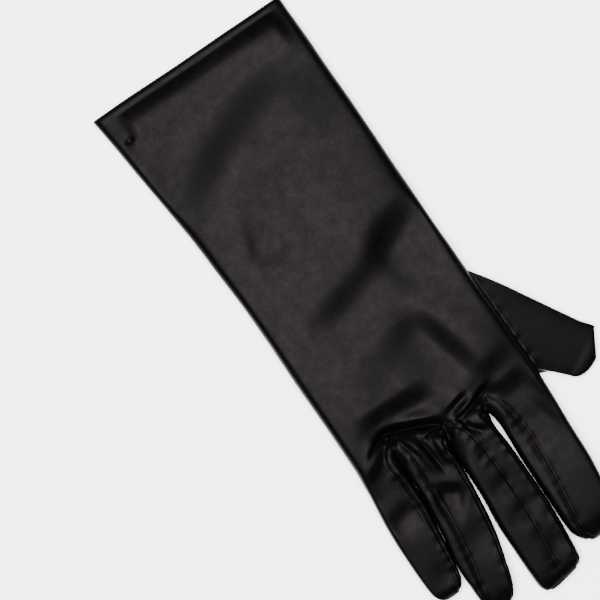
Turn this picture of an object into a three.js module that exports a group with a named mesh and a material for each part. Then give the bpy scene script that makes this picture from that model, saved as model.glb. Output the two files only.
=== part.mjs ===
// A black satin dress glove for a lady's right hand, 26 cm long, lying on its palm, back of the hand up.
// It is sewn from a hand piece that folds round the index side, a thumb, three forked strips between
// the fingers (fourchettes) and a turned-in hem at the cuff. Every piece is a thin cloth wall, so the
// glove is hollow.
// Millimetres, +Z up: x runs across the hand with the thumb at -x, y from the cuff to the fingertips,
// and z = 0 is the surface that the palm lies on.
import * as THREE from "three";

// Cloth and seams
const CLOTH = 1.1;
const HEM_CLOTH = 1.7; // the hem is the cloth turned in on itself
const SEAM_GAP = 0.44;
const HEM_DEPTH = 8;
const FOURCHETTE_INSET = 3; // how far the palm-side finger seams lie in from the finger's edge

// The origin is the centre of the glove's box, on the surface that it lies on.
const ORIGIN = { x: -12.6, y: 129.86 };

// The hand, from the cuff to the knuckles: its two side edges, the height of its back,
// and the height at which the cloth turns over at each side.
const HAND = [
  { y: -3, left: -46.0, right: 46.0, top: 10.5, fold_left: 4.2, fold_right: 4.2 },
  { y: 30, left: -45.4, right: 43.6, top: 10.4, fold_left: 4.4, fold_right: 4.4 },
  { y: 60, left: -44.8, right: 41.4, top: 10.6, fold_left: 4.6, fold_right: 4.5 },
  { y: 95, left: -43.7, right: 40.1, top: 11.4, fold_left: 5.2, fold_right: 4.6 },
  { y: 130, left: -42.8, right: 39.9, top: 12.6, fold_left: 6.8, fold_right: 4.8 },
  { y: 160, left: -42.6, right: 40.0, top: 13.2, fold_left: 7.2, fold_right: 5.0 },
  { y: 186, left: -42.3, right: 41.6, top: 12.4, fold_left: 6.4, fold_right: 5.0 },
  { y: 205, left: -41.5, right: 44.0, top: 11.6, fold_left: 5.6, fold_right: 5.0 },
];

// The fingers: the tip and how long its round is, how square that round is and how far it leans across,
// then the side edges, the height and where the two seams of the back run.
// A finger's edge that the hand piece wraps round has its seam on the edge itself.
const FINGERS = [
  {
    name: "index",
    tip: 255.2,
    crown: 11,
    squareness: 2.5,
    lean: 0,
    rows: [
      { y: 180, left: -42.4, right: -17.0, top: 12.2, seam_left: -42.4, seam_right: -21.0 },
      { y: 200, left: -41.2, right: -16.5, top: 11.4, seam_left: -41.2, seam_right: -23.4 },
      { y: 215, left: -40.0, right: -15.7, top: 11.0, seam_left: -40.0, seam_right: -22.6 },
      { y: 230, left: -38.7, right: -15.3, top: 10.6, seam_left: -38.7, seam_right: -20.6 },
      { y: 246, left: -36.0, right: -14.5, top: 10.0, seam_left: -36.0, seam_right: -18.2 },
      { y: 256, left: -33.0, right: -15.5, top: 9.5, seam_left: -33.0, seam_right: -17.5 },
    ],
  },
  {
    name: "middle",
    tip: 261.6,
    crown: 8,
    squareness: 4.2,
    lean: 0.14,
    rows: [
      { y: 180, left: -14.0, right: 4.1, top: 12.2, seam_left: -12.8, seam_right: -2.6 },
      { y: 200, left: -15.1, right: 5.1, top: 11.4, seam_left: -13.8, seam_right: -4.4 },
      { y: 215, left: -15.1, right: 6.3, top: 11.0, seam_left: -13.8, seam_right: -4.6 },
      { y: 230, left: -14.7, right: 7.6, top: 10.6, seam_left: -13.4, seam_right: -4.0 },
      { y: 247, left: -13.3, right: 8.4, top: 10.2, seam_left: -12.0, seam_right: -1.8 },
      { y: 263, left: -11.2, right: 8.4, top: 9.6, seam_left: -10.0, seam_right: 0.3 },
    ],
  },
  {
    name: "ring",
    tip: 257.0,
    crown: 11,
    squareness: 2.5,
    lean: 0,
    rows: [
      { y: 180, left: 5.3, right: 25.2, top: 12.0, seam_left: 6.9, seam_right: 20.2 },
      { y: 200, left: 5.9, right: 26.0, top: 11.2, seam_left: 7.7, seam_right: 21.2 },
      { y: 215, left: 7.7, right: 28.1, top: 10.8, seam_left: 9.4, seam_right: 23.0 },
      { y: 230, left: 10.6, right: 30.9, top: 10.4, seam_left: 12.2, seam_right: 25.8 },
      { y: 247, left: 15.6, right: 32.0, top: 10.0, seam_left: 16.8, seam_right: 29.6 },
      { y: 257, left: 19.2, right: 31.8, top: 9.4, seam_left: 20.2, seam_right: 30.6 },
    ],
  },
  {
    name: "little",
    tip: 240.5,
    crown: 7,
    squareness: 2.7,
    lean: 0,
    rows: [
      { y: 170, left: 26.2, right: 40.4, top: 12.0, seam_left: 29.4, seam_right: 40.4 },
      { y: 185, left: 26.0, right: 41.6, top: 11.0, seam_left: 29.6, seam_right: 41.6 },
      { y: 200, left: 26.6, right: 44.0, top: 10.4, seam_left: 29.8, seam_right: 44.0 },
      { y: 215, left: 28.7, right: 45.5, top: 10.0, seam_left: 30.8, seam_right: 45.5 },
      { y: 232, left: 32.1, right: 46.0, top: 9.4, seam_left: 33.2, seam_right: 46.0 },
      { y: 241, left: 34.2, right: 45.3, top: 9.0, seam_left: 35.2, seam_right: 45.3 },
    ],
  },
];

// Between two fingers the back is slit down to (x, y); the web of cloth in the slit runs from there
// to its edge at (web_x, web_y) and down to the palm's slit at (palm_x, palm_y).
const CROTCHES = [
  { x: -18.6, y: 181.6, web_x: -15.8, web_y: 187.4, palm_x: -16.2, palm_y: 184.0 },
  { x: 2.4, y: 181.2, web_x: 5.0, web_y: 191.5, palm_x: 4.8, palm_y: 187.0 },
  { x: 23.6, y: 173.0, web_x: 26.0, web_y: 180.6, palm_x: 25.8, palm_y: 178.0 },
];
const KNUCKLE_ENDS = { left: 184, right: 174 };
const WEB_HEIGHT = 7;
const FINGER_FOLD = 5; // the height of a finger's side folds
const FINGER_BLEND = { width: 9, height: 18 }; // lengths over which the flat hand becomes round fingers
const FLATNESS = { hand: 14, finger: 10, thumb: 4 }; // of the back, before it turns down to the folds

// The cuff's edge, which slopes a little towards the little finger's side
const CUFF = { left: 0, right: -2.5 };

// The thumb: its slanting seat in the side of the hand, and the two corners where its blunt end begins.
// The end runs straight from the low corner to the crown and rounds off at the high one, the more square
// the higher its squareness. Near the low end of the seat the thumb bulges out from the straight by
// root_bulge.
const THUMB = {
  low_corner: { x: -71.6, y: 184.6 },
  high_corner: { x: -52.2, y: 195.0 },
  top: 7.4,
  fold: 4.2,
  crown: 6.3,
  squareness: 2,
  root_bulge: 8,
};

// Folds and dents of the back of the glove. Each runs from (x1, y1) to (x2, y2), bowed to its left by
// bow. The cloth rises over `rise` to a crest on that line, falls to its left over `face` by the crest
// and the drop, and comes back up over `back`.
const FOLD_COLUMNS = ["x1", "y1", "x2", "y2", "bow", "crest", "drop", "rise", "face", "back"];
const FOLDS = [
  [0.5, 176.4, 24.5, 166.2, -0.9, 1.0, 2.8, 3, 3.4, 2.2], // the long fold above the ring finger
  [17, 167, 36, 172, -1.8, 0.7, 1.4, 2.6, 1.6, 2.0],
  [-20.5, 175.8, -3, 180.2, 0.6, 0.5, 2.0, 1.8, 2.0, 1.8],
  [-12, 173, -1, 175.4, 0, 0.3, 1.1, 2.5, 2.6, 2.5],
  [16.6, 178, 15.4, 195, 0, 0.8, 1.7, 1.6, 2.2, 1.8], // the slot at the foot of the ring finger
  [10.5, 201.5, 18.5, 197.5, 0, 0.2, 1.7, 3, 4.6, 3],
  [-4, 158, 31, 157, 0, 0.4, 2.0, 12, 9.5, 10], // soft dents of the back of the hand
  [-38, 179.5, -20, 181.4, 0.3, 0.4, 1.6, 4, 3.6, 3],
  [-40, 166, -14, 168, 0, 0.3, 0.8, 6, 10, 6],
  [27, 171, 42, 180, 0, 0.4, 1.2, 3, 4.4, 4],
  [-29, 186, -36, 210, 0, 0.3, 0.5, 4, 6, 5],
  [-48, 87.5, -11, 96, 0, 1.3, 2.0, 24, 17, 16],
  [-24, 98, 27, 111.5, 1, 0.9, 1.5, 18, 15, 16],
  [-18, 126, 28, 141, 0, 0.8, 1.3, 14, 14, 14],
  [-29, 172, -20, 132, 0, 1.0, 1.4, 10, 11, 12],
  [42, 66, -36, 32, 5, 1.3, 1.8, 22, 22, 22], // the long dent of the cuff
].map((row) => Object.fromEntries(row.map((v, i) => [FOLD_COLUMNS[i], v])));
const FOLD_FADE = 1.2; // how fast a fold dies away past its ends
const CROTCH_DIP = { depth: 2.6, width: 5.5 };
const CROWN_ROUNDING = { width: 2.2, height: 2 };
const HEM_ROLL = [
  { y: 0, rise: -1.9 },
  { y: 1.2, rise: -0.95 },
  { y: 2.4, rise: -1.5 },
  { y: 5, rise: -0.7 },
  { y: 8, rise: 0.2 },
  { y: 12, rise: 0.2 },
  { y: 18, rise: 0 },
];

// How finely the pieces are meshed
const BACK_COLUMNS = 7; // for each finger
const PALM_COLUMNS = 3;
const PALM_SHARES_AT_THUMB = [0, 0.5, 0.74, 1]; // the first is the width of the thumb's seat
const SEAT_STATIONS = [
  135, 138, 141, 146, 152, 157, 161, 164.2, 167.2, 170, 172.8, 175.6, 178.4, 181.2, 184,
];
const WEB_COLUMNS = { upper: 2, lower: 1 };
const HEM_STATIONS = [0, 1.2, 2.4, 5, HEM_DEPTH];
const HAND_STATIONS = [HEM_DEPTH, 17, 27, 37, 47, 57, 68, 79, 88, 96, 104, 112, 120, 128, ...SEAT_STATIONS];
const FINGER_STATIONS = [0, 0.06, 0.12, 0.2, 0.3, 0.42, 0.56, 0.7, 0.84, 1]; // shares of its length
const CROWN_TURNS = [25, 48, 68, 90]; // degrees round the fingertip
const THUMB_STATIONS = [0, 0.12, 0.28, 0.46, 0.64, 0.82, 1];

const radians = THREE.MathUtils.degToRad;
const lerp = THREE.MathUtils.lerp;
const clamp = THREE.MathUtils.clamp;
const smooth = (t) => THREE.MathUtils.smoothstep(t, 0, 1);
const easeOut = (t) => 1 - (1 - clamp(t, 0, 1)) ** 2;

// A smooth curve through one column of a table, read at station y.
function along(rows, column, y) {
  const last = rows.length - 1;
  let i = 0;
  while (i < last - 1 && y > rows[i + 1].y) i++;
  const slope = (k) => {
    const before = rows[Math.max(k - 1, 0)];
    const after = rows[Math.min(k + 1, last)];
    return (after[column] - before[column]) / (after.y - before.y);
  };
  const [from, to] = [rows[i], rows[i + 1]];
  const span = to.y - from.y;
  const t = clamp((y - from.y) / span, 0, 1);
  const rest = 1 - t;
  return (
    rest * rest * (1 + 2 * t) * from[column] +
    t * t * (3 - 2 * t) * to[column] +
    t * rest * (rest * slope(i) - t * slope(i + 1)) * span
  );
}

// Across a section, turn runs from -1 at the left edge to 1 at the right one, and share is where that
// lies between the edges. Equal steps of turn are even steps round the edge.
const shareOf = (turn) => Math.sin((turn * Math.PI) / 2);
const turnOf = (share) => (Math.asin(clamp(share, -1, 1)) * 2) / Math.PI;

// The height of a flattened tube that lies on z = 0: its back is a low dome between the two side folds,
// and its underside is flat, with a quarter round up to each fold.
function tubeHeight(share, halfWidth, top, fold, flatness, isBack) {
  const out = Math.abs(share);
  if (isBack) return fold + (top - fold) * (1 - out ** flatness) ** (1 / 1.9);
  const turnIn = 1 - Math.min(fold, 0.8 * halfWidth) / halfWidth;
  if (out <= turnIn) return 0;
  const round = Math.min((out - turnIn) / (1 - turnIn), 1);
  return fold * (1 - Math.sqrt(1 - round * round));
}

// How much the folds, the dips between the fingers and the hem's roll raise or lower the back.
function foldRise(x, y) {
  let rise = 0;
  for (const f of FOLDS) {
    const half = Math.hypot(f.x2 - f.x1, f.y2 - f.y1) / 2;
    const [ux, uy] = [(f.x2 - f.x1) / (2 * half), (f.y2 - f.y1) / (2 * half)];
    const [dx, dy] = [x - (f.x1 + f.x2) / 2, y - (f.y1 + f.y2) / 2];
    const s = (dx * ux + dy * uy) / half;
    const left = ux * dy - uy * dx - f.bow * (1 - Math.min(s * s, 2));
    let h = f.crest - (f.crest + f.drop) * smooth(left / f.face);
    if (left < 0) h = f.crest * Math.exp(-((left / f.rise) ** 2));
    if (left > f.face) h = -f.drop * Math.exp(-(((left - f.face) / f.back) ** 2));
    rise += h * Math.exp(-FOLD_FADE * s ** 4);
  }
  for (const c of CROTCHES) {
    const away = Math.hypot(x - c.x, y - c.y);
    rise -= CROTCH_DIP.depth * Math.exp(-((away / CROTCH_DIP.width) ** 2));
  }
  return rise;
}

function handSection(y) {
  const left = along(HAND, "left", y);
  const right = along(HAND, "right", y);
  return { middle: (left + right) / 2, half: (right - left) / 2 };
}

// A point of the hand, without its folds. The back and the palm share the points of the side folds.
function handPoint(turn, y, isBack) {
  const { middle, half } = handSection(y);
  const share = shareOf(turn);
  const fold = along(HAND, share < 0 ? "fold_left" : "fold_right", y);
  const height = tubeHeight(share, half, along(HAND, "top", y), fold, FLATNESS.hand, isBack);
  return new THREE.Vector3(middle + half * share, y, height);
}

// How much of a tube's width and height is left at a share of the way into its closed end
const crownWidth = (into, squareness) => (1 - into ** squareness) ** (1 / CROWN_ROUNDING.width);
const crownHeight = (into) => (1 - into ** 3) ** (1 / CROWN_ROUNDING.height);

// A point of a finger, without its folds. The tube closes over the finger's crown.
function fingerPoint(finger, turn, y, isBack) {
  const left = along(finger.rows, "left", y);
  const right = along(finger.rows, "right", y);
  const into = clamp((y - finger.tip + finger.crown) / finger.crown, 0, 1);
  const width = crownWidth(into, finger.squareness);
  const height = crownHeight(into);
  const half = (right - left) / 2;
  const share = shareOf(turn);
  const top = along(finger.rows, "top", y);
  const z = tubeHeight(share, half, top, FINGER_FOLD, FLATNESS.finger, isBack);
  const low = FINGER_FOLD * 0.8;
  const out = half * share * width;
  return new THREE.Vector3(
    (left + right) / 2 + out,
    y + finger.lean * out * into,
    low + (z - low) * height,
  );
}

// Where a finger's seam lies, as a turn. The palm's seams are FOURCHETTE_INSET in from the edges.
function seamTurn(finger, side, y, isBack) {
  const left = along(finger.rows, "left", y);
  const right = along(finger.rows, "right", y);
  const half = (right - left) / 2;
  const wrappedSide = { index: "left", little: "right" }[finger.name];
  if (side === wrappedSide) return side === "left" ? -1 : 1;
  if (!isBack) return turnOf(1 - FOURCHETTE_INSET / half) * (side === "left" ? -1 : 1);
  return turnOf((along(finger.rows, "seam_" + side, y) - (left + right) / 2) / half);
}

// The skin: the glove's outer surface as one mesh of four-sided faces, each tagged with its piece.
const skin = { points: [], at: new Map(), faces: [] };
function pointIndex(p) {
  const key = [p.x, p.y, p.z].map((v) => Math.round(v * 2000)).join(" ");
  if (!skin.at.has(key)) {
    skin.at.set(key, skin.points.length);
    skin.points.push(p);
  }
  return skin.at.get(key);
}
function addPatch(rows, columns, pointAt, pieceAt, isTurnedOver) {
  const grid = [];
  for (let r = 0; r <= rows; r++) {
    grid.push([]);
    for (let c = 0; c <= columns; c++) grid[r].push(pointIndex(pointAt(r, c)));
  }
  for (let r = 0; r < rows; r++)
    for (let c = 0; c < columns; c++) {
      const piece = pieceAt(r, c);
      if (!piece) continue;
      const corners = [grid[r][c], grid[r][c + 1], grid[r + 1][c + 1], grid[r + 1][c]];
      if (isTurnedOver) corners.reverse();
      skin.faces.push({ piece, corners });
    }
}

// The knuckle line, where the hand ends and the fingers begin
const slitTurns = (xKey, yKey) =>
  CROTCHES.map((c) => {
    const { middle, half } = handSection(c[yKey]);
    return turnOf((c[xKey] - middle) / half);
  });
const KNUCKLES = {
  back: [-1, ...slitTurns("x", "y"), 1],
  palm: [-1, ...slitTurns("palm_x", "palm_y"), 1],
};
function knuckleY(isBack, strip, share) {
  const ys = [KNUCKLE_ENDS.left, ...CROTCHES.map((c) => (isBack ? c.y : c.palm_y)), KNUCKLE_ENDS.right];
  return lerp(ys[strip], ys[strip + 1], share);
}
function handTurn(isBack, strip, share) {
  const turns = isBack ? KNUCKLES.back : KNUCKLES.palm;
  return lerp(turns[strip], turns[strip + 1], share);
}

// The folds fade out towards a side edge.
const fadeAt = (turn) => 1 - shareOf(turn) ** 8;
function raised(p, weight) {
  p.z += foldRise(p.x, p.y) * weight;
  return p;
}

// The first of the palm's columns at the index side is as wide as the thumb's seat.
const columnShare = (isBack, strip, c) => {
  if (isBack) return c / BACK_COLUMNS;
  return strip === 0 ? PALM_SHARES_AT_THUMB[c] : c / PALM_COLUMNS;
};

// Up to STRAIGHT_TO the rows of the hand run straight across, and from there they bend to the knuckles.
const STRAIGHT_TO = 150;
function bentY(station, knuckle) {
  const last = SEAT_STATIONS[SEAT_STATIONS.length - 1];
  const bend = (station - STRAIGHT_TO) / (last - STRAIGHT_TO);
  return bend > 0 ? lerp(STRAIGHT_TO, knuckle, bend) : station;
}

// The hand and hem, in four strips of the back and four of the palm, one below each finger
function addHand() {
  const stations = [...HEM_STATIONS, ...HAND_STATIONS.slice(1)];
  const hemRows = HEM_STATIONS.length - 1;
  for (const isBack of [true, false])
    for (let strip = 0; strip < 4; strip++) {
      const columns = isBack ? BACK_COLUMNS : PALM_COLUMNS;
      const pointAt = (r, c) => {
        const share = columnShare(isBack, strip, c);
        const turn = handTurn(isBack, strip, share);
        const y = bentY(stations[r], knuckleY(isBack, strip, share));
        const slope = lerp(CUFF.left, CUFF.right, (shareOf(turn) + 1) / 2);
        const cuffY = y + slope * clamp(1 - y / 40, 0, 1);
        const p = handPoint(turn, cuffY, isBack);
        if (isBack) {
          p.z += along(HEM_ROLL, "rise", Math.min(y, 18)) * fadeAt(turn);
          raised(p, fadeAt(turn));
        }
        return p;
      };
      const pieceAt = (r, c) => {
        if (r < hemRows) return "cuff_hem";
        if (!isBack && strip === 0 && c === 0 && stations[r] >= SEAT_STATIONS[0]) return null;
        return "hand_shell";
      };
      addPatch(stations.length - 1, columns, pointAt, pieceAt, !isBack);
    }
}

// One finger: strips of the back and palm, and a side wall on each side that faces another finger.
// A wall is half of a forked strip, which narrows over the crown and stops short of the very tip.
function addFinger(number) {
  const finger = FINGERS[number];
  const crownFrom = finger.tip - finger.crown;
  const rows = FINGER_STATIONS.length - 1 + CROWN_TURNS.length;
  // How far along the finger a row lies: y, and the weights of the finger's own shape
  const rowAt = (r, startY) => {
    const isCrown = r >= FINGER_STATIONS.length;
    const y = isCrown
      ? crownFrom + finger.crown * Math.sin(radians(CROWN_TURNS[r - FINGER_STATIONS.length]))
      : lerp(startY, crownFrom, FINGER_STATIONS[r]);
    const on = y - startY;
    return { y, across: easeOut(on / FINGER_BLEND.width), up: smooth(on / FINGER_BLEND.height) };
  };
  const blended = (start, shape, row) =>
    new THREE.Vector3(lerp(start.x, shape.x, row.across), shape.y, lerp(start.z, shape.z, row.up));

  for (const isBack of [true, false]) {
    const columns = isBack ? BACK_COLUMNS : PALM_COLUMNS;
    const pointAt = (r, c) => {
      const share = columnShare(isBack, number, c);
      const start = handPoint(handTurn(isBack, number, share), knuckleY(isBack, number, share), isBack);
      const row = rowAt(r, start.y);
      const seamY = Math.min(row.y, crownFrom);
      const turn = lerp(
        seamTurn(finger, "left", seamY, isBack),
        seamTurn(finger, "right", seamY, isBack),
        share,
      );
      const p = blended(start, fingerPoint(finger, turn, row.y, isBack), row);
      if (!isBack || row.y >= crownFrom) return p;
      return raised(p, lerp(fadeAt(handTurn(isBack, number, share)), fadeAt(turn), row.up));
    };
    addPatch(rows, columns, pointAt, () => "hand_shell", !isBack);
  }

  const { upper, lower } = WEB_COLUMNS;
  for (const side of ["left", "right"]) {
    const crotch = CROTCHES[side === "left" ? number - 1 : number];
    if (!crotch) continue;
    const sign = side === "left" ? -1 : 1;
    const slit = side === "left" ? number : number + 1;
    const top = handPoint(KNUCKLES.back[slit], crotch.y, true);
    const web = new THREE.Vector3(crotch.web_x, crotch.web_y, WEB_HEIGHT);
    const bottom = handPoint(KNUCKLES.palm[slit], crotch.palm_y, false);
    const pointAt = (r, c) => {
      const isUpper = c <= upper;
      const share = isUpper ? c / upper : (c - upper) / lower;
      const start = isUpper ? top.clone().lerp(web, share) : web.clone().lerp(bottom, share);
      const row = rowAt(r, start.y);
      const seam = seamTurn(finger, side, Math.min(row.y, crownFrom), isUpper);
      const turn = isUpper ? lerp(seam, sign, share) : lerp(sign, seam, share);
      const p = blended(start, fingerPoint(finger, turn, row.y, isUpper), row);
      if (!isUpper || row.y >= crownFrom) return p;
      const atSeam = lerp(fadeAt(KNUCKLES.back[slit]), fadeAt(seam), row.up);
      return raised(p, atSeam * (1 - share));
    };
    const fork = Math.min(number, number + (sign - 1) / 2);
    const strip = `fourchette_${FINGERS[fork].name}_${FINGERS[fork + 1].name}`;
    const pieceAt = (r) => (r < rows - 1 ? strip : "hand_shell");
    addPatch(rows, upper + lower, pointAt, pieceAt, side === "left");
  }
}

// The thumb: from its seat in the side of the hand, straight lines run to the section at its blunt end.
function addThumb() {
  const seatPoint = (station, c) => {
    const share = PALM_SHARES_AT_THUMB[c];
    return handPoint(handTurn(false, 0, share), bentY(station, knuckleY(false, 0, share)), false);
  };
  const end = new THREE.Vector3(THUMB.low_corner.x, THUMB.low_corner.y, 0);
  const across = new THREE.Vector3(THUMB.high_corner.x, THUMB.high_corner.y, 0).sub(end);
  const half = across.length() / 2;
  const middle = end.clone().addScaledVector(across, 0.5);
  across.normalize();
  const outwards = new THREE.Vector3(-across.y, across.x, 0);
  const endPoint = (turn, isBack) => {
    const p = middle.clone().addScaledVector(across, half * shareOf(turn));
    p.z = tubeHeight(shareOf(turn), half, THUMB.top, THUMB.fold, FLATNESS.thumb, isBack);
    return p;
  };

  // The seat's loop, anticlockwise as seen from the thumb's end, and the end section's matching points
  const loop = [];
  const steps = SEAT_STATIONS.length - 1;
  const sideTurn = turnOf(0.62); // where the side of the thumb turns under
  for (let k = 0; k <= steps; k++)
    loop.push({
      seat: seatPoint(SEAT_STATIONS[k], 0),
      end: endPoint(lerp(-1, 1, k / steps), true),
      low: 1 - k / steps,
    });
  for (let k = steps; k >= 0; k--)
    loop.push({
      seat: seatPoint(SEAT_STATIONS[k], 1),
      end: endPoint(lerp(-sideTurn, sideTurn, k / steps), false),
      low: 1 - k / steps,
    });

  const low = THUMB.fold * 0.8;
  const rows = THUMB_STATIONS.length - 1 + CROWN_TURNS.length;
  const pointAt = (r, c) => {
    const q = loop[c % loop.length];
    if (r < THUMB_STATIONS.length) {
      const t = THUMB_STATIONS[r];
      const p = q.seat.clone().lerp(q.end, t);
      p.x -= THUMB.root_bulge * t * (1 - t) ** 3 * q.low ** 2;
      return p;
    }
    const turn = radians(CROWN_TURNS[r - THUMB_STATIONS.length]);
    const into = Math.sin(turn);
    const out = q.end.clone().sub(middle).dot(across);
    const width = out < 0 ? 1 - into : crownWidth(into, THUMB.squareness);
    const height = crownHeight(into);
    const p = middle.clone().addScaledVector(across, out * width);
    p.addScaledVector(outwards, THUMB.crown * into);
    p.z = low + (q.end.z - low) * height;
    return p;
  };
  addPatch(rows, loop.length, pointAt, () => "thumb", false);
}

// The pieces, cut from the skin and given their thickness
function makePiece(name, thickness) {
  const triangles = [];
  for (const face of skin.faces) {
    if (face.piece !== name) continue;
    const [a, b, c, d] = face.corners;
    const [pa, pb, pc, pd] = face.corners.map((i) => skin.points[i]);
    const split = pa.distanceTo(pc) <= pb.distanceTo(pd) ? [[a, b, c], [a, c, d]] : [[a, b, d], [b, c, d]];
    for (const t of split) if (new Set(t).size === 3) triangles.push(t);
  }
  const edges = new Map();
  for (const t of triangles) t.forEach((a, i) => edges.set(`${a} ${t[(i + 1) % 3]}`, [a, t[(i + 1) % 3]]));
  const rim = [...edges.values()].filter(([a, b]) => !edges.has(`${b} ${a}`));
  const onRim = new Set(rim.flat());

  // A rim point is drawn back into its piece, square to the rim, by half the seam's gap, and by
  // the whole gap inside the glove.
  const inwards = new Map([...onRim].map((i) => [i, []]));
  for (const [a, b, c] of triangles)
    for (const [i, j, k] of [[a, b, c], [b, c, a], [c, a, b]]) {
      if (edges.has(`${j} ${i}`)) continue;
      const along = skin.points[j].clone().sub(skin.points[i]);
      const facing = along.clone().cross(skin.points[k].clone().sub(skin.points[i]));
      const pull = facing.cross(along).normalize();
      inwards.get(i).push(pull);
      inwards.get(j).push(pull);
    }
  const drawnBack = (i, distance) => {
    const p = skin.points[i].clone();
    if (!onRim.has(i)) return p;
    const pull = inwards.get(i).reduce((sum, v) => sum.add(v), new THREE.Vector3());
    const mitre = Math.min(inwards.get(i).length / pull.lengthSq(), 3);
    p.addScaledVector(pull, mitre * distance);
    p.z = Math.max(p.z, 0);
    return p;
  };

  const number = new Map();
  const outer = [];
  const inner = [];
  for (const i of new Set(triangles.flat())) {
    number.set(i, outer.length);
    outer.push(drawnBack(i, SEAM_GAP / 2));
    inner.push(drawnBack(i, SEAM_GAP).addScaledVector(skin.normals[i], -thickness));
  }
  const count = outer.length;
  const index = [];
  for (const [a, b, c] of triangles) {
    const [i, j, k] = [a, b, c].map((v) => number.get(v));
    index.push(i, j, k, k + count, j + count, i + count);
  }
  // The rim's wall is split the same way on both sides of a seam.
  for (const [a, b] of rim) {
    const [i, j] = [number.get(a), number.get(b)];
    if (a < b) index.push(j, i, i + count, j, i + count, j + count);
    else index.push(j, i, j + count, i, i + count, j + count);
  }
  const geometry = new THREE.BufferGeometry().setFromPoints([...outer, ...inner]);
  geometry.setIndex(index);
  geometry.computeVertexNormals();
  const mesh = new THREE.Mesh(geometry, SATIN.clone());
  mesh.name = name;
  return mesh;
}

addHand();
FINGERS.forEach((_, number) => addFinger(number));
addThumb();

// A point's normal halves the angle between the pieces that meet there.
skin.normals = skin.points.map(() => new Map());
for (const { piece, corners } of skin.faces)
  corners.forEach((i, c) => {
    const point = skin.points[i];
    const ahead = skin.points[corners[(c + 1) % 4]].clone().sub(point).normalize();
    const behind = skin.points[corners[(c + 3) % 4]].clone().sub(point).normalize();
    const sum = skin.normals[i].get(piece) || new THREE.Vector3();
    skin.normals[i].set(piece, sum.add(ahead.cross(behind)));
  });
skin.normals = skin.normals.map((sums) => {
  const normal = new THREE.Vector3();
  for (const sum of sums.values()) normal.add(sum.normalize());
  return normal.normalize();
});

const SATIN = new THREE.MeshStandardMaterial({ color: "#1d1b1c", roughness: 0.5, metalness: 0 });

const glove = new THREE.Group();
glove.add(
  makePiece("hand_shell", CLOTH),
  makePiece("thumb", CLOTH),
  makePiece("fourchette_index_middle", CLOTH),
  makePiece("fourchette_middle_ring", CLOTH),
  makePiece("fourchette_ring_little", CLOTH),
  makePiece("cuff_hem", HEM_CLOTH),
);
glove.position.set(-ORIGIN.x, -ORIGIN.y, 0);

export default glove;
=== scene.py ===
import math

import bpy
import numpy as np
from mathutils import Matrix


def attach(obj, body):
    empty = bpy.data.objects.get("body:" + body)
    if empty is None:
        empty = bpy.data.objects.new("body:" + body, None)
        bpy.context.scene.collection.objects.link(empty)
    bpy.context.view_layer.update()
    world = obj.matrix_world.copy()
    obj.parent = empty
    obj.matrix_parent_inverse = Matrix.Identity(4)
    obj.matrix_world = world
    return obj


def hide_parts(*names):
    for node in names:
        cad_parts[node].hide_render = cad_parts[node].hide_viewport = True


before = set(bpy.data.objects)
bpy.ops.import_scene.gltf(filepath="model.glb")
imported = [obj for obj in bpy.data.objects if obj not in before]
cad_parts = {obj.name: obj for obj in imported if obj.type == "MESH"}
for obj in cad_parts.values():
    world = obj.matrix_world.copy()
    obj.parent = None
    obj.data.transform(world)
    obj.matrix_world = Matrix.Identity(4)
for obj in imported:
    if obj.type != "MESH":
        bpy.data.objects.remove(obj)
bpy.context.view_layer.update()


# The hand. Back and palm of a lady's right-hand dress glove are cut in one from black stretch satin and
# fold round the index side. Empty and palm down, they make a low flat tube whose back sags in soft dents.
# Lengths are millimetres: x across the hand (thumb at -x), y from cuff to fingertips, z up.

MM = 0.001
ORIGIN = np.array([-12.6, 129.86, 0.0])  # the frame's origin in these millimetres


def table(columns, *rows):
    """Named columns of a short table as arrays."""
    return dict(zip(columns.split(), np.array(rows, float).T))


HAND = table(
    "y left right top fold_left fold_right",
    (-3, -46.0, 46.0, 10.5, 4.2, 4.2),
    (30, -45.4, 43.6, 10.4, 4.4, 4.4),
    (60, -44.8, 41.4, 10.6, 4.6, 4.5),
    (95, -43.7, 40.6, 11.4, 5.2, 4.6),
    (130, -42.8, 41.3, 12.6, 6.8, 4.8),
    (160, -42.6, 42.1, 13.2, 7.2, 5.0),
    (186, -42.3, 43.2, 12.4, 6.4, 5.0),
    (205, -41.5, 45.0, 11.6, 5.6, 5.0),
)
HAND_FLATNESS = 42.0  # how flat the back stays before it turns down to the side folds
SHOULDER = 1.9  # how round it then turns down; 2 is an ellipse
CUFF_SLOPE = -2.5  # how much nearer the wearer the cuff's edge lies at the little finger's side
SLOPE_LENGTH = 40.0  # the rows are back at right angles this far up

# Slits between the fingers: their ends on the back and on the palm, and the middle of the web between.
CROTCHES = table(
    "x y web_x web_y palm_x palm_y",
    (-18.6, 181.6, -15.8, 187.4, -16.2, 184.0),
    (2.4, 181.2, 5.0, 191.5, 4.8, 187.0),
    (23.6, 173.0, 26.0, 180.6, 25.8, 178.0),
)
KNUCKLE_ENDS = (184.0, 174.0)

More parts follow.
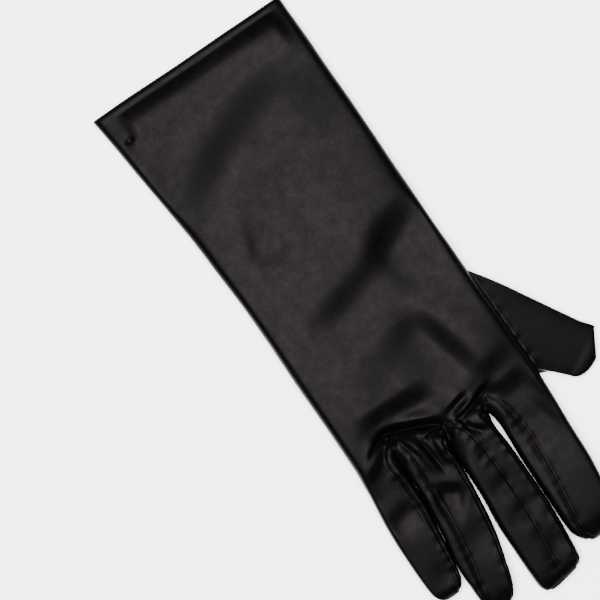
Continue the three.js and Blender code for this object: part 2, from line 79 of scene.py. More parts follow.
# Sharp folds and soft dents of the back. Each runs from (x1, y1) to (x2, y2), bowed to its left by bow.
# The cloth rises over `rise` to a crest on that line, falls to its left over `face` by the crest and the
# drop, and comes back up over `back`.
FOLD_COLUMNS = "x1 y1 x2 y2 bow crest drop rise face back"
SHARP_FOLDS = table(
    FOLD_COLUMNS,
    (0.5, 176.4, 24.5, 166.2, -0.9, 0.9, 3.6, 3.0, 3.8, 1.5),
    (19, 167.6, 34.5, 171.8, -1.5, 0.6, 1.8, 2.6, 1.8, 1.6),
    (-20.5, 175.8, -3, 180.2, 0.6, 0.5, 2.2, 1.8, 2.0, 1.3),
    (3, 177.8, 11.5, 179.2, 0.4, 0.4, 1.4, 1.2, 1.4, 1.2),
    (16.4, 178, 15.2, 195, 0, 0.6, 1.9, 1.8, 2.5, 1.8),
    (16.4, 184, 19.8, 172, 0, 0.4, 0.9, 1.4, 1.8, 1.4),
    (8.8, 193, 7.8, 181, 0, 0.5, 0.6, 1.6, 2.2, 1.6),
)
SOFT_DENTS = table(
    FOLD_COLUMNS,
    (-12, 173, -1, 175.4, 0, 0.3, 1.1, 2.5, 2.6, 2.5),
    (-12, 190.5, -6.5, 184.5, 0, 0.3, 1.1, 2, 2.4, 2),
    (-10.8, 183, -12.4, 192, 0, 0.4, 0.4, 1.5, 1.5, 1.5),
    (-1, 180, -5, 186, 0, 0.4, 0.4, 1.5, 1.5, 1.5),
    (8.8, 203.6, 18.0, 197.2, 0, 0.3, 1.5, 3, 5.0, 9),
    (-38, 176, -20, 178.5, 0.3, 0.4, 1.7, 4, 9, 8),
    (-40, 166, -14, 168, 0, 0.3, 0.8, 6, 10, 6),
    (27, 171, 42, 180, 0, 0.3, 0.8, 3, 4.8, 5),
    (-4, 158, 31, 157, 0, 0.4, 2.1, 12, 11, 10),
    (-29, 186, -36, 210, 0, 0.3, 0.5, 4, 6, 5),
    (32, 194, 45, 197, 0, 0.2, 0.6, 6, 7, 6),
    (-48, 87.5, -11, 96, 0, 1.3, 2.0, 24, 17, 16),
    (-24, 98, 27, 111.5, 1, 0.9, 1.5, 18, 15, 16),
    (-18, 125, 28, 141, 0, 0.6, 1.1, 14, 18, 16),
    (-29, 172, -20, 132, 0, 1.0, 1.4, 10, 11, 12),
    (42, 66, -36, 32, 5, 1.3, 1.8, 22, 22, 22),
    (29, 87, 15, 93, 0, 0.4, 0.8, 8, 11, 16),
)
FOLD_FADE = 1.2  # how fast a fold dies away past its ends
EDGE_FADE = 8  # the higher, the closer to a side edge the folds reach

# Small round hollows, and the knots of gathers where the tips of the forked strips are drawn in.
PITS = table(
    "x y radius depth",
    (-8, 246, 4.5, 0.5), (0, 229, 4, 0.4), (-1, 215, 4.5, 0.5), (-8, 227, 3.5, 0.3), (2, 257, 3.5, 0.5),
    (17, 226, 8, 0.7), (36, 200, 7, 0.5), (38.4, 11.6, 1.5, 1.0), (37, 231, 6, 0.6), (-5.6, 186, 1.5, 0.9),
    (-18.6, 181.6, 5.5, 1.8), (2.4, 181.2, 5.5, 1.8), (23.6, 173.0, 5.5, 1.8),
)
KNOTS = table(
    "x y radius depth petals turn",
    (-15.2, 184.8, 2.0, 1.5, 5, 0.4),
    (3.0, 184.6, 2.4, 1.5, 6, 1.0),
    (23.3, 173.6, 2.0, 1.7, 5, 0.7),
)
KNOT_RIM = 1.25  # a knot's rim lies this many radii out,
KNOT_RIM_WIDTH = 0.5  # is this wide
KNOT_RIM_HEIGHT = 0.55  # and this high beside the pit's depth,
KNOT_SWING = 0.45  # give or take this share for its petals
KNOT_PIT = 0.62  # width of the pit inside the rim, in radii


def smooth(t):
    """The S-shaped step 3t^2 - 2t^3, held at 0 and 1."""
    t = np.clip(t, 0, 1)
    return t * t * (3 - 2 * t)


def along(rows, column, y):
    """A smooth curve through one column of a table, read at y: a cubic whose slope at each row is the
    slope between that row's neighbours."""
    ys, v = rows["y"], rows[column]
    last = len(ys) - 1
    before = np.maximum(np.arange(last + 1) - 1, 0)
    after = np.minimum(np.arange(last + 1) + 1, last)
    slope = (v[after] - v[before]) / (ys[after] - ys[before])
    y = np.asarray(y, float)
    i = np.clip(np.searchsorted(ys, y, side="left") - 1, 0, last - 1)
    span = ys[i + 1] - ys[i]
    t = np.clip((y - ys[i]) / span, 0, 1)
    r = 1 - t
    bend = t * r * (r * slope[i] - t * slope[i + 1]) * span
    return r * r * (1 + 2 * t) * v[i] + t * t * (3 - 2 * t) * v[i + 1] + bend


def mix(a, b, t):
    """From a to b as t runs from 0 to 1."""
    return a + (b - a) * t


def share_of(turn):
    """Where a turn from -1 (left edge) to 1 (right edge) lies between the edges: its sine."""
    return np.sin(np.asarray(turn) * math.pi / 2)


def turn_of(share):
    """The turn whose sine is this share."""
    return np.arcsin(np.clip(share, -1, 1)) * 2 / math.pi


def tube_height(share, half, top, fold, flatness, is_back):
    """Height of a flattened tube lying on z = 0: the back is a low superellipse between the side folds,
    the underside is flat with a quarter round up to each fold."""
    out = np.abs(share)
    if is_back:
        return fold + (top - fold) * np.clip(1 - out**flatness, 0, 1) ** (1 / SHOULDER)
    turn_in = 1 - np.minimum(fold, 0.8 * half) / half  # leaves a narrow tube some flat underside
    r = np.clip((out - turn_in) / (1 - turn_in), 0, 1)
    return fold * (1 - np.sqrt(1 - r * r))


def hand_section(y):
    """Middle and half width of the hand at y."""
    left, right = along(HAND, "left", y), along(HAND, "right", y)
    return (left + right) / 2, (right - left) / 2


def hand_point(turn, y, is_back):
    """Points of the hand at these turns and ys, without folds."""
    middle, half = hand_section(y)
    share = share_of(turn)
    fold = np.where(share < 0, along(HAND, "fold_left", y), along(HAND, "fold_right", y))
    z = tube_height(share, half, along(HAND, "top", y), fold, HAND_FLATNESS, is_back)
    return np.stack(np.broadcast_arrays(middle + half * share, y, z), -1)


def folds_of(rows, is_sharp, x, y):
    """Height added by a table's folds. A profile depends on the signed distance to its bowed line and
    dies away past the line's ends. A sharp fold falls ever steeper to a V, a soft one to a round dip."""
    rise = np.zeros(np.shape(x))
    for x1, y1, x2, y2, bow, crest, drop, before, face, back in zip(*rows.values()):
        half = math.hypot(x2 - x1, y2 - y1) / 2
        ux, uy = (x2 - x1) / (2 * half), (y2 - y1) / (2 * half)
        dx, dy = x - (x1 + x2) / 2, y - (y1 + y2) / 2
        s = (dx * ux + dy * uy) / half
        left = ux * dy - uy * dx - bow * (1 - np.minimum(s * s, 2))
        t = np.clip(left / face, 0, 1)
        past = np.maximum(left - face, 0) / back
        down = 1 - np.cos(t * math.pi / 2) if is_sharp else smooth(t)
        up = np.exp(-past) if is_sharp else np.exp(-(past**2))
        h = np.where(left < 0, crest * np.exp(-((left / before) ** 2)), crest - (crest + drop) * down)
        h = np.where(left > face, -drop * up, h)
        rise += h * np.exp(-FOLD_FADE * s**4)
    return rise


def fold_rise(x, y):
    """Height added by folds, dents, pits and knots. A pit is a bell curve upside down, and a knot is a
    pit inside a rim whose height swings up and down as it goes round."""
    rise = folds_of(SHARP_FOLDS, True, x, y) + folds_of(SOFT_DENTS, False, x, y)
    for px, py, radius, depth in zip(*PITS.values()):
        rise -= depth * np.exp(-(((x - px) ** 2 + (y - py) ** 2) / radius**2))
    for kx, ky, radius, depth, petals, turn in zip(*KNOTS.values()):
        r = np.hypot(x - kx, y - ky) / radius
        swing = 1 - KNOT_SWING + KNOT_SWING * np.cos(petals * np.arctan2(y - ky, x - kx) + turn)
        rim = KNOT_RIM_HEIGHT * swing * np.exp(-(((r - KNOT_RIM) / KNOT_RIM_WIDTH) ** 2))
        rise += depth * (rim - np.exp(-((r / KNOT_PIT) ** 2)))
    return rise


def fade_at(turn):
    """How much of the folds is left at this turn: they fade out towards a side edge."""
    return 1 - share_of(turn) ** EDGE_FADE


def slit_turns(x, y):
    """The turns of the slits between the fingers, with those of the two side edges."""
    middle, half = hand_section(CROTCHES[y])
    return np.concatenate([[-1.0], turn_of((CROTCHES[x] - middle) / half), [1.0]])


SLIT_TURNS = {True: slit_turns("x", "y"), False: slit_turns("palm_x", "palm_y")}
SLIT_YS = {
    True: np.array([KNUCKLE_ENDS[0], *CROTCHES["y"], KNUCKLE_ENDS[1]]),
    False: np.array([KNUCKLE_ENDS[0], *CROTCHES["palm_y"], KNUCKLE_ENDS[1]]),
}

# The hem is the first 8 mm, turned in. Its edge lies flat as a low bead and the cloth rises behind it,
# steeply in the middle of the cuff and slowly at its two corners.
HEM_ROLL = table(
    "y middle corner",
    (-1.3, -3.6, -3.6), (-0.8, -2.9, -2.9), (-0.2, -2.5, -2.5), (0.4, -2.3, -2.32), (1.2, -2.22, -2.22),
    (2.0, -2.22, -2.16), (2.6, -2.12, -2.1), (3.3, -1.85, -2.02), (4.2, -1.45, -1.9), (6, -0.72, -1.66),
    (8, -0.15, -1.4), (10, 0.15, -1.15), (12, 0.25, -0.92), (15, 0.2, -0.6), (19, 0, -0.25), (24, 0, 0),
)
HEM_CORNERS = (-42, -36, 32, 39)  # x where the left corner ends, the middle begins and ends, and the right
HEM_YS = np.concatenate([np.arange(-1.3, 4.2, 0.3), [5, 6, 7, 8]])
SEAT_YS = np.concatenate([np.arange(135.0, 156, 1.0), np.arange(156.0, 183.7, 0.6), [184.0]])
HAND_YS = np.concatenate([HEM_YS, np.arange(8.5, 15, 0.5), np.arange(16.0, 134, 2.0), SEAT_YS])
STRAIGHT_TO = 150.0  # from here the rows of points bend evenly to the knuckles
SHARES = {True: np.linspace(0, 1, 39), False: np.linspace(0, 1, 11)}  # across a strip of back or palm
SHARES[True] = SHARES[True] - 0.07 * np.sin(2 * math.pi * SHARES[True])  # closer at the seams
SEAT_COLUMNS = 5  # of the palm's first strip, left open for the thumb


def start_of(is_back, strip, share):
    """Turn and y on the knuckle line, at this share of the way across a strip."""
    turns, ys = SLIT_TURNS[is_back], SLIT_YS[is_back]
    return mix(turns[strip], turns[strip + 1], share), mix(ys[strip], ys[strip + 1], share)


def bent_y(station, knuckle):
    """Up to STRAIGHT_TO the rows run straight across; from there they bend evenly to the knuckles."""
    bend = (station - STRAIGHT_TO) / (SEAT_YS[-1] - STRAIGHT_TO)
    return np.where(bend > 0, mix(STRAIGHT_TO, knuckle, bend), station)


def hand_grid(is_back, strip):
    """Points of the strip of back or palm below one finger, from the cuff's edge to the knuckles."""
    turns, knuckle = start_of(is_back, strip, SHARES[is_back][None, :])
    ys = bent_y(HAND_YS[:, None], knuckle)
    slant = CUFF_SLOPE * (share_of(turns) + 1) / 2 * np.clip(1 - ys / SLOPE_LENGTH, 0, 1)
    points = hand_point(np.broadcast_to(turns, ys.shape), ys + slant, is_back)
    if is_back:
        fold, top = along(HAND, "fold_right", ys), along(HAND, "top", ys)
        above = np.clip((points[..., 2] - fold) / (top - fold), 0, 1)
        x = points[..., 0]
        left, from_x, to_x, right = HEM_CORNERS
        inner = smooth((x - left) / (from_x - left)) * smooth((right - x) / (right - to_x))
        roll = mix(along(HEM_ROLL, "corner", ys), along(HEM_ROLL, "middle", ys), inner)
        points[..., 2] += fold_rise(x, points[..., 1]) * fade_at(turns) + roll * above
    return points


patches = []  # of the whole glove's skin: grid of points, whether it faces down, piece


def add_patch(piece, points, faces_down=False):
    """Notes a grid of points as part of this piece's skin."""
    patches.append((piece, points, faces_down))


for strip in range(4):
    add_patch("hand_shell", hand_grid(True, strip)[len(HEM_YS) - 1 :])
    palm = hand_grid(False, strip)[len(HEM_YS) - 1 :]
    if strip > 0:
        add_patch("hand_shell", palm, True)
        continue
    seat_row = len(palm) - len(SEAT_YS)
    add_patch("hand_shell", palm[: seat_row + 1], True)
    add_patch("hand_shell", palm[seat_row:, SEAT_COLUMNS:], True)


# The fingers. The hand piece runs on into the backs and undersides of the four fingers. It wraps round
# the index's outer side and the little finger's, and elsewhere ends at the seams of the forked strips.
# At a tip it is sewn shut over a short round end.

FINGER_COLUMNS = "y left right top seam_left seam_right"
FINGERS = [
    {
        "tip": 255.2, "crown": 11, "squareness": 2.5, "lean": 0, "fold": 5.6, "wrapped": "left",
        "rows": table(
            FINGER_COLUMNS,
            (180, -42.4, -17.0, 12.2, -42.4, -21.0),
            (200, -41.2, -16.5, 10.5, -41.2, -23.4),
            (215, -40.0, -15.5, 11.0, -40.0, -22.6),
            (230, -38.7, -14.9, 11.6, -38.7, -20.6),
            (246, -36.0, -14.5, 11.6, -36.0, -18.2),
            (256, -33.0, -15.5, 10.4, -33.0, -17.5),
        ),
    },
    {
        "tip": 261.6, "crown": 8, "squareness": 4.2, "lean": 0.14, "fold": 4.4, "wrapped": None,
        "rows": table(
            FINGER_COLUMNS,
            (180, -14.0, 4.9, 12.2, -12.8, -2.6),
            (200, -15.1, 5.7, 11.4, -13.8, -4.4),
            (215, -15.1, 6.5, 11.0, -13.8, -4.6),
            (230, -14.8, 8.1, 10.6, -13.4, -4.0),
            (247, -13.1, 8.9, 10.2, -12.0, -1.8),
            (263, -11.2, 8.8, 9.6, -10.0, 0.3),
        ),
    },
    {
        "tip": 257.0, "crown": 11, "squareness": 2.5, "lean": 0, "fold": 5.6, "wrapped": None,
        "rows": table(
            FINGER_COLUMNS,
            (180, 5.0, 25.9, 12.0, 6.9, 20.2),
            (200, 5.8, 26.5, 11.2, 7.7, 21.4),
            (215, 7.7, 28.5, 10.8, 9.4, 23.2),
            (230, 10.6, 31.3, 10.4, 12.2, 25.8),
            (247, 15.6, 32.0, 10.0, 16.8, 29.6),
            (257, 19.2, 31.8, 9.4, 20.2, 30.6),
        ),
    },
    {
        "tip": 240.5, "crown": 7, "squareness": 2.7, "lean": 0, "fold": 4.2, "wrapped": "right",
        "rows": table(
            FINGER_COLUMNS,
            (170, 25.7, 42.4, 12.0, 29.4, 42.4),
            (185, 25.9, 43.6, 11.0, 29.6, 43.6),
            (200, 26.4, 45.4, 10.4, 29.6, 45.4),
            (215, 28.6, 46.8, 10.0, 30.6, 46.8),
            (232, 31.8, 47.0, 9.4, 33.0, 47.0),
            (241, 34.2, 46.0, 9.0, 35.2, 46.0),
        ),
    },
]
FINGER_FLATNESS = 20.0
FOURCHETTE_INSET = 3.0  # of the underside's seams from the finger's edges
WIDTH_BLEND = 9.0  # length over which the flat hand takes a finger's width,
HEIGHT_BLEND = 18.0  # and its height
TIP_FADE = 8.0  # length over which the folds die away at the tip
FINGER_T = np.concatenate([np.linspace(0, 0.3, 31)[:-1], np.linspace(0.3, 1, 41)])  # closer at the root
CROWN_T = np.sin(np.radians(np.linspace(0, 90, 14)[1:]))
END_HEIGHT = 0.8  # at the very tip the tube closes at this share of its side fold's height


def crown_width(into, squareness, rounding=2.2):
    """The width left at this share of the way into a tube's closed end, a superellipse."""
    return np.clip(1 - into**squareness, 0, 1) ** (1 / rounding)


def crown_height(into):
    """The height left there, which shrinks later and ends round."""
    return np.sqrt(np.clip(1 - into**3, 0, 1))


def finger_point(finger, turn, y, is_back):
    """Points of a finger at these turns and ys, without folds; the tube closes over the crown."""
    rows = finger["rows"]
    left, right = along(rows, "left", y), along(rows, "right", y)
    into = np.clip((y - finger["tip"] + finger["crown"]) / finger["crown"], 0, 1)
    half = (right - left) / 2
    share = share_of(turn)
    z = tube_height(share, half, along(rows, "top", y), finger["fold"], FINGER_FLATNESS, is_back)
    out = half * share * crown_width(into, finger["squareness"])
    z = mix(finger["fold"] * END_HEIGHT, z, crown_height(into))
    return np.stack(np.broadcast_arrays((left + right) / 2 + out, y + finger["lean"] * out * into, z), -1)


def seam_turn(finger, side, y, is_back):
    """The turn at which a finger's seam lies at y."""
    sign = -1.0 if side == "left" else 1.0
    if finger["wrapped"] == side:
        return np.full(np.shape(y), sign)
    rows = finger["rows"]
    left, right = along(rows, "left", y), along(rows, "right", y)
    half = (right - left) / 2
    if not is_back:
        return sign * turn_of(1 - FOURCHETTE_INSET / half)
    return turn_of((along(rows, "seam_" + side, y) - (left + right) / 2) / half)


def finger_rows(finger, start):
    """The y of each row of a finger for columns that start at these ys, and how far the finger's own
    width and height have come in there."""
    base = finger["tip"] - finger["crown"]
    crown = np.repeat(base + finger["crown"] * CROWN_T[:, None], start.shape[1], 1)
    y = np.concatenate([mix(start, base, FINGER_T[:, None]), crown])
    across = 1 - (1 - np.clip((y - start) / WIDTH_BLEND, 0, 1)) ** 2
    return y, across, smooth((y - start) / HEIGHT_BLEND)


def blended(start, shape, across, up):
    """Points that pass from the knuckle line to the finger's own shape."""
    x = mix(start[..., 0], shape[..., 0], across)
    return np.stack([x, shape[..., 1], mix(start[..., 2], shape[..., 2], up)], -1)


def finger_grid(number, is_back):
    """Points of one finger's back or underside, from the knuckle line to the tip."""
    finger = FINGERS[number]
    base = finger["tip"] - finger["crown"]
    shares = SHARES[is_back][None, :]
    start_turn, start_y = start_of(is_back, number, shares)
    y, across, up = finger_rows(finger, start_y)
    left = seam_turn(finger, "left", np.minimum(y, base), is_back)
    right = seam_turn(finger, "right", np.minimum(y, base), is_back)
    turn = mix(left, right, shares)
    start = hand_point(start_turn, start_y, is_back)
    points = blended(start, finger_point(finger, turn, y, is_back), across, up)
    if is_back:
        weight = mix(fade_at(start_turn), fade_at(turn), up) * smooth((base + TIP_FADE - y) / TIP_FADE)
        points[..., 2] += fold_rise(points[..., 0], points[..., 1]) * weight
    return points


for number in range(4):
    add_patch("hand_shell", finger_grid(number, True))
    add_patch("hand_shell", finger_grid(number, False), True)


# The forked strips. Between each two fingers a strip of the same satin (a fourchette) is sewn in as the
# fingers' facing sides. It folds at the web of the slit, and its two halves narrow over the fingertips.

WEB_HEIGHT = 8.0
WEB_SHARES = {True: np.linspace(0, 1, 9), False: np.linspace(0, 1, 6)}  # above the side fold and below it
TIP_ROWS = 4  # at the very tip the hand piece itself goes round
FOURCHETTES = ["fourchette_index_middle", "fourchette_middle_ring", "fourchette_ring_little"]


def side_grid(number, side):
    """Points of the side of a finger that faces its neighbour, from the web to the tip. The columns run
    from the seam on the back over the side fold to the seam on the palm."""
    finger = FINGERS[number]
    base = finger["tip"] - finger["crown"]
    slit = number - 1 if side == "left" else number
    sign = -1.0 if side == "left" else 1.0
    fork = {name: column[slit] for name, column in CROTCHES.items()}
    web = np.array([fork["web_x"], fork["web_y"], WEB_HEIGHT])
    ends = {
        True: (hand_point(SLIT_TURNS[True][slit + 1], fork["y"], True), web),
        False: (web, hand_point(SLIT_TURNS[False][slit + 1], fork["palm_y"], False)),
    }
    halves = []
    for is_upper, (first, last) in ends.items():
        shares = WEB_SHARES[is_upper][None, :]
        start = mix(first, last, shares[..., None])
        y, across, up = finger_rows(finger, start[..., 1])
        seam = seam_turn(finger, side, np.minimum(y, base), is_upper)
        turn = mix(seam, sign, shares) if is_upper else mix(sign, seam, shares)
        points = blended(start, finger_point(finger, turn, y, is_upper), across, up)
        if is_upper:
            weight = mix(fade_at(SLIT_TURNS[True][slit + 1]), fade_at(seam), up) * (1 - shares)
            weight = weight * smooth((base + TIP_FADE - y) / TIP_FADE)
            points[..., 2] += fold_rise(points[..., 0], points[..., 1]) * weight
        halves.append(points)
    return np.concatenate([halves[0], halves[1][:, 1:]], 1)


for slit, name in enumerate(FOURCHETTES):
    for number, side in ((slit, "right"), (slit + 1, "left")):
        points = side_grid(number, side)
        add_patch(name, points[: -TIP_ROWS - 1], side == "left")
        add_patch("hand_shell", points[-TIP_ROWS - 2 :], side == "left")


# The thumb. A separate tube of satin, set into a slanting seat in the side of the hand. It lies flat and
# empty, and its end is cut square on the cuff's side and rounded on the other.

THUMB_CORNERS = np.array([[-71.6, 184.6], [-52.2, 195.0]])  # where the end's round begins
THUMB_TOP = 4.8
THUMB_FLATNESS = 4.0
THUMB_FOLD = 4.2
THUMB_CROWN = 6.3
THUMB_BULGE = 8.0  # near its seat it bulges towards the cuff
SIDE_TURN = float(turn_of(0.62))  # where the side of the thumb turns under
THUMB_ROUND = {"low": (1.0, 1.0), "high": (2.0, 2.2)}  # squareness and rounding of its end on each side
THUMB_T = np.concatenate([np.linspace(0, 0.2, 13), np.linspace(0.2, 1, 37)[1:]])[:, None, None]


def seat_points(share, ys):
    """Points of the seat's border on the palm side of the hand."""
    turn, knuckle = start_of(False, 0, share)
    return hand_point(turn, bent_y(ys, knuckle), False)


def thumb_grid():
    """Straight lines from the loop of the seat to the section at the blunt end, then the end's round."""
    up_seat = np.linspace(0, 1, len(SEAT_YS))
    shares = SHARES[False][: SEAT_COLUMNS + 1]
    ends = shares[1:-1] / shares[-1]
    seat = np.concatenate([
        seat_points(0.0, SEAT_YS),
        seat_points(shares[1:-1], SEAT_YS[-1]),
        seat_points(shares[-1], SEAT_YS[::-1]),
        seat_points(shares[1:-1][::-1], SEAT_YS[0]),
    ])
    turn = np.concatenate([
        mix(-1, 1, up_seat),
        mix(1, SIDE_TURN, ends),
        mix(SIDE_TURN, -SIDE_TURN, up_seat),
        mix(-SIDE_TURN, -1, ends),
    ])
    is_back = np.arange(len(turn)) < len(SEAT_YS)
    middle = THUMB_CORNERS.mean(0)
    across = THUMB_CORNERS[1] - middle
    half = np.hypot(*across)
    across = across / half
    outwards = np.array([-across[1], across[0]])
    share = share_of(turn)
    upper = tube_height(share, half, THUMB_TOP, THUMB_FOLD, THUMB_FLATNESS, True)
    under = tube_height(share, half, THUMB_TOP, THUMB_FOLD, THUMB_FLATNESS, False)
    z = np.where(is_back, upper, under)
    end = np.column_stack([middle + half * share[:, None] * across, z])
    tube = mix(seat, end, THUMB_T)
    low_side = np.concatenate([1 - up_seat, 0 * ends, up_seat, 0 * ends + 1])
    tube[..., 0] -= THUMB_BULGE * (THUMB_T * (1 - THUMB_T) ** 3)[..., 0] * low_side**2
    into = CROWN_T[:, None]
    low, high = [crown_width(into, *THUMB_ROUND[side]) for side in ("low", "high")]
    width = np.where(share < 0, low, high)
    plan = middle + (half * share * width)[..., None] * across + THUMB_CROWN * into[..., None] * outwards
    crown = np.dstack([plan, mix(THUMB_FOLD * END_HEIGHT, z, crown_height(into))])
    tube = np.concatenate([tube, crown])
    return np.concatenate([tube, tube[:, :1]], 1)


add_patch("thumb", thumb_grid())


# The hem. At the cuff the satin is turned in once and blind-stitched, which makes it twice as thick.

for strip in range(4):
    for is_back in (True, False):
        add_patch("cuff_hem", hand_grid(is_back, strip)[: len(HEM_YS)], not is_back)


# The sewing. The pieces meet edge to edge, their allowances turned in, so each seam is a fine groove
# with a small roll beside it, and its thread gathers the satin into puckers a few mm apart.

PIECES = ["hand_shell", "thumb", *FOURCHETTES, "cuff_hem"]
THICKNESS = {"cuff_hem": 1.5}  # of the other pieces: CLOTH
CLOTH = 0.7
GROOVE_DEPTH = 0.34
GROOVE_WIDTH = 0.5
ROLL_HEIGHT = 0.12
ROLL_AWAY = 1.2  # from the seam
ROLL_WIDTH = 0.6
PUCKER = 0.13  # height of a pucker,
PUCKER_LENGTH = 4.2  # how far apart they are
PUCKER_REACH = 2.4  # and how far from the seam they go
THUMB_SEAM_END = -30  # x up to which the seam is the thumb's, which is finer:
THUMB_SEAM = 0.4  # times the depth of the others
SAG = 0.09  # height of the cloth's slight unevenness
SAG_LENGTH = 26


def weld(patches):
    """All patches as one mesh: its points, its four-sided faces and the number of each face's piece.
    Points closer than a micron are one; a face with two corners in one point keeps them last."""
    quads, tags, start = [], [], 0
    for piece, points, faces_down in patches:
        rows, columns = points.shape[:2]
        n = start + np.arange(rows * columns).reshape(rows, columns)
        start += rows * columns
        grid = np.stack([n[:-1, :-1], n[:-1, 1:], n[1:, 1:], n[1:, :-1]], -1).reshape(-1, 4)
        quads.append(grid[:, ::-1] if faces_down else grid)
        tags.append(np.full(len(grid), PIECES.index(piece)))
    points = np.concatenate([points.reshape(-1, 3) for _, points, _ in patches])
    rounded = np.round(points, 3) + 0.0
    _, first, number = np.unique(rounded, axis=0, return_index=True, return_inverse=True)
    faces = number.reshape(-1)[np.concatenate(quads)]
    tags = np.concatenate(tags)
    same = faces == np.roll(faces, -1, 1)
    keep = same.sum(1) < 2
    order = (same.argmax(1)[:, None] + [2, 3, 0, 1]) % 4
    faces = np.where(same.any(1)[:, None], np.take_along_axis(faces, order, 1), faces)
    return points[first], faces[keep], tags[keep]


def point_normals(points, faces):
    """Unit normal of each point: the sum of its faces' cross products of diagonals, made unit."""
    cross = np.cross(points[faces[:, 2]] - points[faces[:, 0]], points[faces[:, 3]] - points[faces[:, 1]])
    n = np.zeros_like(points)
    for corner in range(4):
        np.add.at(n, faces[:, corner], cross)
    return n / np.maximum(np.linalg.norm(n, axis=1, keepdims=True), 1e-12)


def waves(points, length, seed, count=24):
    """A smooth random field of about unit size: a sum of plane waves of about this length in random
    directions, each with a random phase."""
    rng = np.random.default_rng(seed)
    direction = rng.normal(size=(count, 3))
    direction /= np.linalg.norm(direction, axis=1, keepdims=True)
    k = 2 * math.pi / (length * rng.uniform(0.75, 1.35, count))
    phase = rng.uniform(0, 2 * math.pi, count)
    return np.sin(points @ (direction * k[:, None]).T + phase).sum(1) * math.sqrt(2 / count)


def nearest(points, targets):
    """The number of the target nearest to each point: the least of target^2 - 2 point.target, worked
    out in slices to spare memory."""
    size = (targets**2).sum(1)
    slices = np.array_split(points, 1 + len(points) // 4000)
    return np.concatenate([(size - 2 * part @ targets.T).argmin(1) for part in slices])


skin, faces, tags = weld(patches)
normals = point_normals(skin, faces)
held = np.zeros((len(skin), len(PIECES)), bool)
for corner in range(4):
    held[faces[:, corner], tags] = True
seam = skin[(held.sum(1) > 1) & ~held[:, PIECES.index("cuff_hem")]]
spot = seam[nearest(skin, seam)]
away = np.linalg.norm(skin - spot, axis=1)
roll = ROLL_HEIGHT * np.exp(-(((away - ROLL_AWAY) / ROLL_WIDTH) ** 2))
groove = roll - GROOVE_DEPTH * np.exp(-((away / GROOVE_WIDTH) ** 2))
groove *= mix(THUMB_SEAM, 1.0, smooth((spot[:, 0] - THUMB_SEAM_END) / 4))
pucker = PUCKER * waves(spot, PUCKER_LENGTH, 11) * np.exp(-((away / PUCKER_REACH) ** 2))
skin = skin + normals * (groove + pucker + SAG * waves(skin, SAG_LENGTH, 5))[:, None]
skin[:, 2] = np.maximum(skin[:, 2], 0.0)
normals = point_normals(skin, faces)

# The satin is crushed at the bottom of a sharp fold of the back, from not at all to fully between two depths
CREASE_FROM = 2.2
CREASE_TO = 3.0
BACK_ABOVE = 5.0  # height that tells the back from the palm
depth = -folds_of(SHARP_FOLDS, True, skin[:, 0], skin[:, 1])
crease = smooth((depth - CREASE_FROM) / (CREASE_TO - CREASE_FROM)) * (skin[:, 2] > BACK_ABOVE)


def linear(hex_colour):
    """An sRGB hex colour as linear red, green, blue and alpha."""
    c = np.array([int(hex_colour[i : i + 2], 16) for i in (1, 3, 5)]) / 255
    c = np.where(c <= 0.04045, c / 12.92, ((c + 0.055) / 1.055) ** 2.4)
    return (*c.tolist(), 1.0)


def add_node(material, kind, inputs, **settings):
    """Adds a node with these settings; an input gets a value, or a link if it is given a socket."""
    node = material.node_tree.nodes.new(kind)
    for name, value in settings.items():
        setattr(node, name, value)
    for name, value in inputs.items():
        if isinstance(value, bpy.types.NodeSocket):
            material.node_tree.links.new(value, node.inputs[name])
        else:
            node.inputs[name].default_value = value
    return node


def black_satin():
    """Stretch satin: near-black threads with a weak, soft and slightly warm gloss, which gives the eye
    its even grey sheen on the flats and deep black in the folds."""
    m = bpy.data.materials.new("Black_satin")
    m.use_nodes = True
    m.node_tree.nodes.clear()
    place = add_node(m, "ShaderNodeTexCoord", {}).outputs["Object"]
    # The weave has some 20 threads to the mm, too fine to show, so its grain is drawn coarse, 1.8 to the mm.
    grain = {"Vector": place, "Scale": 1.8 / MM, "Detail": 1.0}
    weave = add_node(m, "ShaderNodeTexNoise", grain)
    relief = {"Height": weave.outputs["Fac"], "Distance": 0.05 * MM, "Strength": 1.0}
    bump = add_node(m, "ShaderNodeBump", relief)
    # Wear has roughened it here and there, in spots from 4.5 mm, at 0.22 to the mm, down to under 1 mm.
    spots = {"Vector": place, "Scale": 0.22 / MM, "Detail": 4.0, "Roughness": 0.8}
    nap = add_node(m, "ShaderNodeTexNoise", spots)
    tone = add_node(m, "ShaderNodeMix", {"Factor": nap.outputs["Fac"]}, data_type="RGBA")
    tone.inputs["A"].default_value = linear("#010101")
    tone.inputs["B"].default_value = linear("#040304")
    gloss = {"Value": nap.outputs["Fac"], "To Min": 0.19, "To Max": 0.57}
    rough = add_node(m, "ShaderNodeMapRange", gloss)
    # In a sharp fold the crushed satin has lost its gloss.
    crease = add_node(m, "ShaderNodeAttribute", {}, attribute_name="crease").outputs["Fac"]
    dull = {"Value": crease, "To Min": rough.outputs["Result"], "To Max": 0.8}
    crushed = add_node(m, "ShaderNodeMapRange", dull)
    shader = add_node(m, "ShaderNodeBsdfPrincipled", {
        "Base Color": tone.outputs["Result"],
        "Roughness": crushed.outputs["Result"],
        "IOR": 1.53,
        "Specular IOR Level": 0.018,
        "Specular Tint": (1.0, 0.89, 0.945, 1.0),
        "Normal": bump.outputs["Normal"],
    })
    add_node(m, "ShaderNodeOutputMaterial", {"Surface": shader.outputs["BSDF"]})
    return m


satin = black_satin()


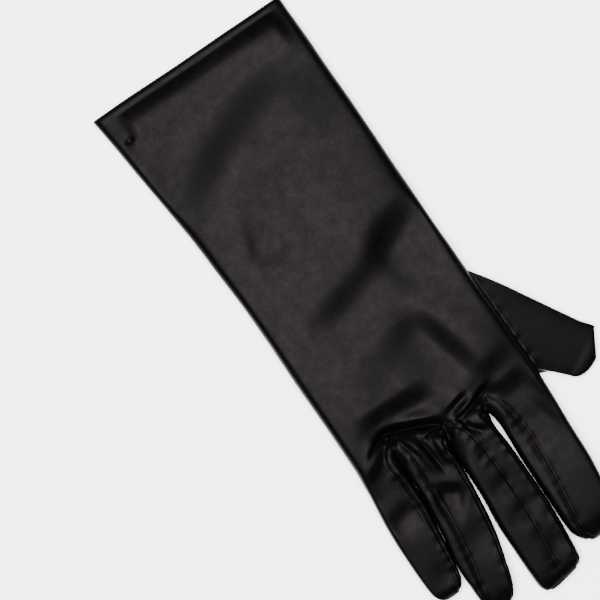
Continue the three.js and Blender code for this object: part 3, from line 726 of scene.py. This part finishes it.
def sew_piece(name):
    """Makes one piece from its part of the skin: the outer side, an inner side one thickness in along
    the normals, and a rim between their borders."""
    own = faces[tags == PIECES.index(name)]
    used, own = np.unique(own, return_inverse=True)
    own = own.reshape(-1, 4)
    count = len(used)
    has_three = own[:, 2] == own[:, 3]
    quads, threes = own[~has_three], own[has_three]
    edges = np.stack([own, np.roll(own, -1, 1)], -1).reshape(-1, 2)
    edges = edges[edges[:, 0] != edges[:, 1]]
    _, first, times = np.unique(np.sort(edges, 1), axis=0, return_index=True, return_counts=True)
    border = edges[first[times == 1]]
    rim = np.column_stack([border[:, ::-1], border + count])
    quads = np.concatenate([quads, quads[:, ::-1] + count, rim])
    triangles = np.concatenate([threes[:, :3], threes[:, 2::-1] + count])
    outer = skin[used]
    points = np.concatenate([outer, outer - normals[used] * THICKNESS.get(name, CLOTH)])
    mesh = bpy.data.meshes.new(name)
    mesh.from_pydata(((points - ORIGIN) * MM).tolist(), [], quads.tolist() + triangles.tolist())
    mesh.shade_smooth()
    mesh.normals_split_custom_set_from_vertices(np.concatenate([normals[used], -normals[used]]).tolist())
    attribute = mesh.attributes.new("crease", "FLOAT", "POINT")
    attribute.data.foreach_set("value", np.tile(crease[used], 2))
    mesh.materials.append(satin)
    piece = bpy.data.objects.new(name + "_cloth", mesh)
    bpy.context.collection.objects.link(piece)
    return piece


for name in PIECES:
    piece = sew_piece(name)
    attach(piece, "root")
    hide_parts(name)


# The surface, the light and the camera. The glove lies on plain white paper, under one broad soft light.

floor_mesh = bpy.data.meshes.new("floor")
floor_mesh.from_pydata([(-2, -2, 0), (2, -2, 0), (2, 2, 0), (-2, 2, 0)], [], [(0, 1, 2, 3)])
floor = bpy.data.objects.new("floor", floor_mesh)
bpy.context.collection.objects.link(floor)
paper = bpy.data.materials.new("White_paper")
paper.use_nodes = True
paper.node_tree.nodes["Principled BSDF"].inputs["Base Color"].default_value = linear("#fafafa")
paper.node_tree.nodes["Principled BSDF"].inputs["Roughness"].default_value = 0.9
floor.data.materials.append(paper)

world = bpy.data.worlds.new("studio")
world.use_nodes = True
world.node_tree.nodes["Background"].inputs["Color"].default_value = (1, 1, 1, 1)
world.node_tree.nodes["Background"].inputs["Strength"].default_value = 0.4
bpy.context.scene.world = world

PHOTO_CENTRE = np.array([19.8, 104.9, 5.0])
PHOTO_TURN = math.radians(144.2)
PHOTO_WIDTH = 246.0  # of what the photo shows
LENS = 120
SENSOR = 36


def soft_light(name, away, size, power):
    """A square light at this offset (m) from the photo's centre, facing it."""
    lamp = bpy.data.lights.new(name, "AREA")
    lamp.shape = "SQUARE"
    lamp.size = size
    lamp.energy = power
    holder = bpy.data.objects.new(name, lamp)
    bpy.context.collection.objects.link(holder)
    away = np.array(away)
    holder.location = ((PHOTO_CENTRE - ORIGIN) * MM + away).tolist()
    forward = -away / np.linalg.norm(away)
    side = np.cross(forward, [0.0, 1.0, 0.0])
    side /= np.linalg.norm(side)
    up = np.cross(side, forward)
    holder.rotation_euler = Matrix(np.column_stack([side, up, -forward]).tolist()).to_euler()


soft_light("overhead", (0.08, -0.13, 1.3), 0.8, 98.0)

lens = bpy.data.cameras.new("camera")
lens.type = "PERSP"
lens.lens = LENS
lens.sensor_width = SENSOR
lens.clip_end = 10
camera = bpy.data.objects.new("camera", lens)
bpy.context.collection.objects.link(camera)
distance = PHOTO_WIDTH * MM * LENS / SENSOR
camera.location = ((PHOTO_CENTRE - ORIGIN) * MM + np.array([0, 0, distance])).tolist()
camera.rotation_euler = (0, 0, PHOTO_TURN)
bpy.context.scene.camera = camera
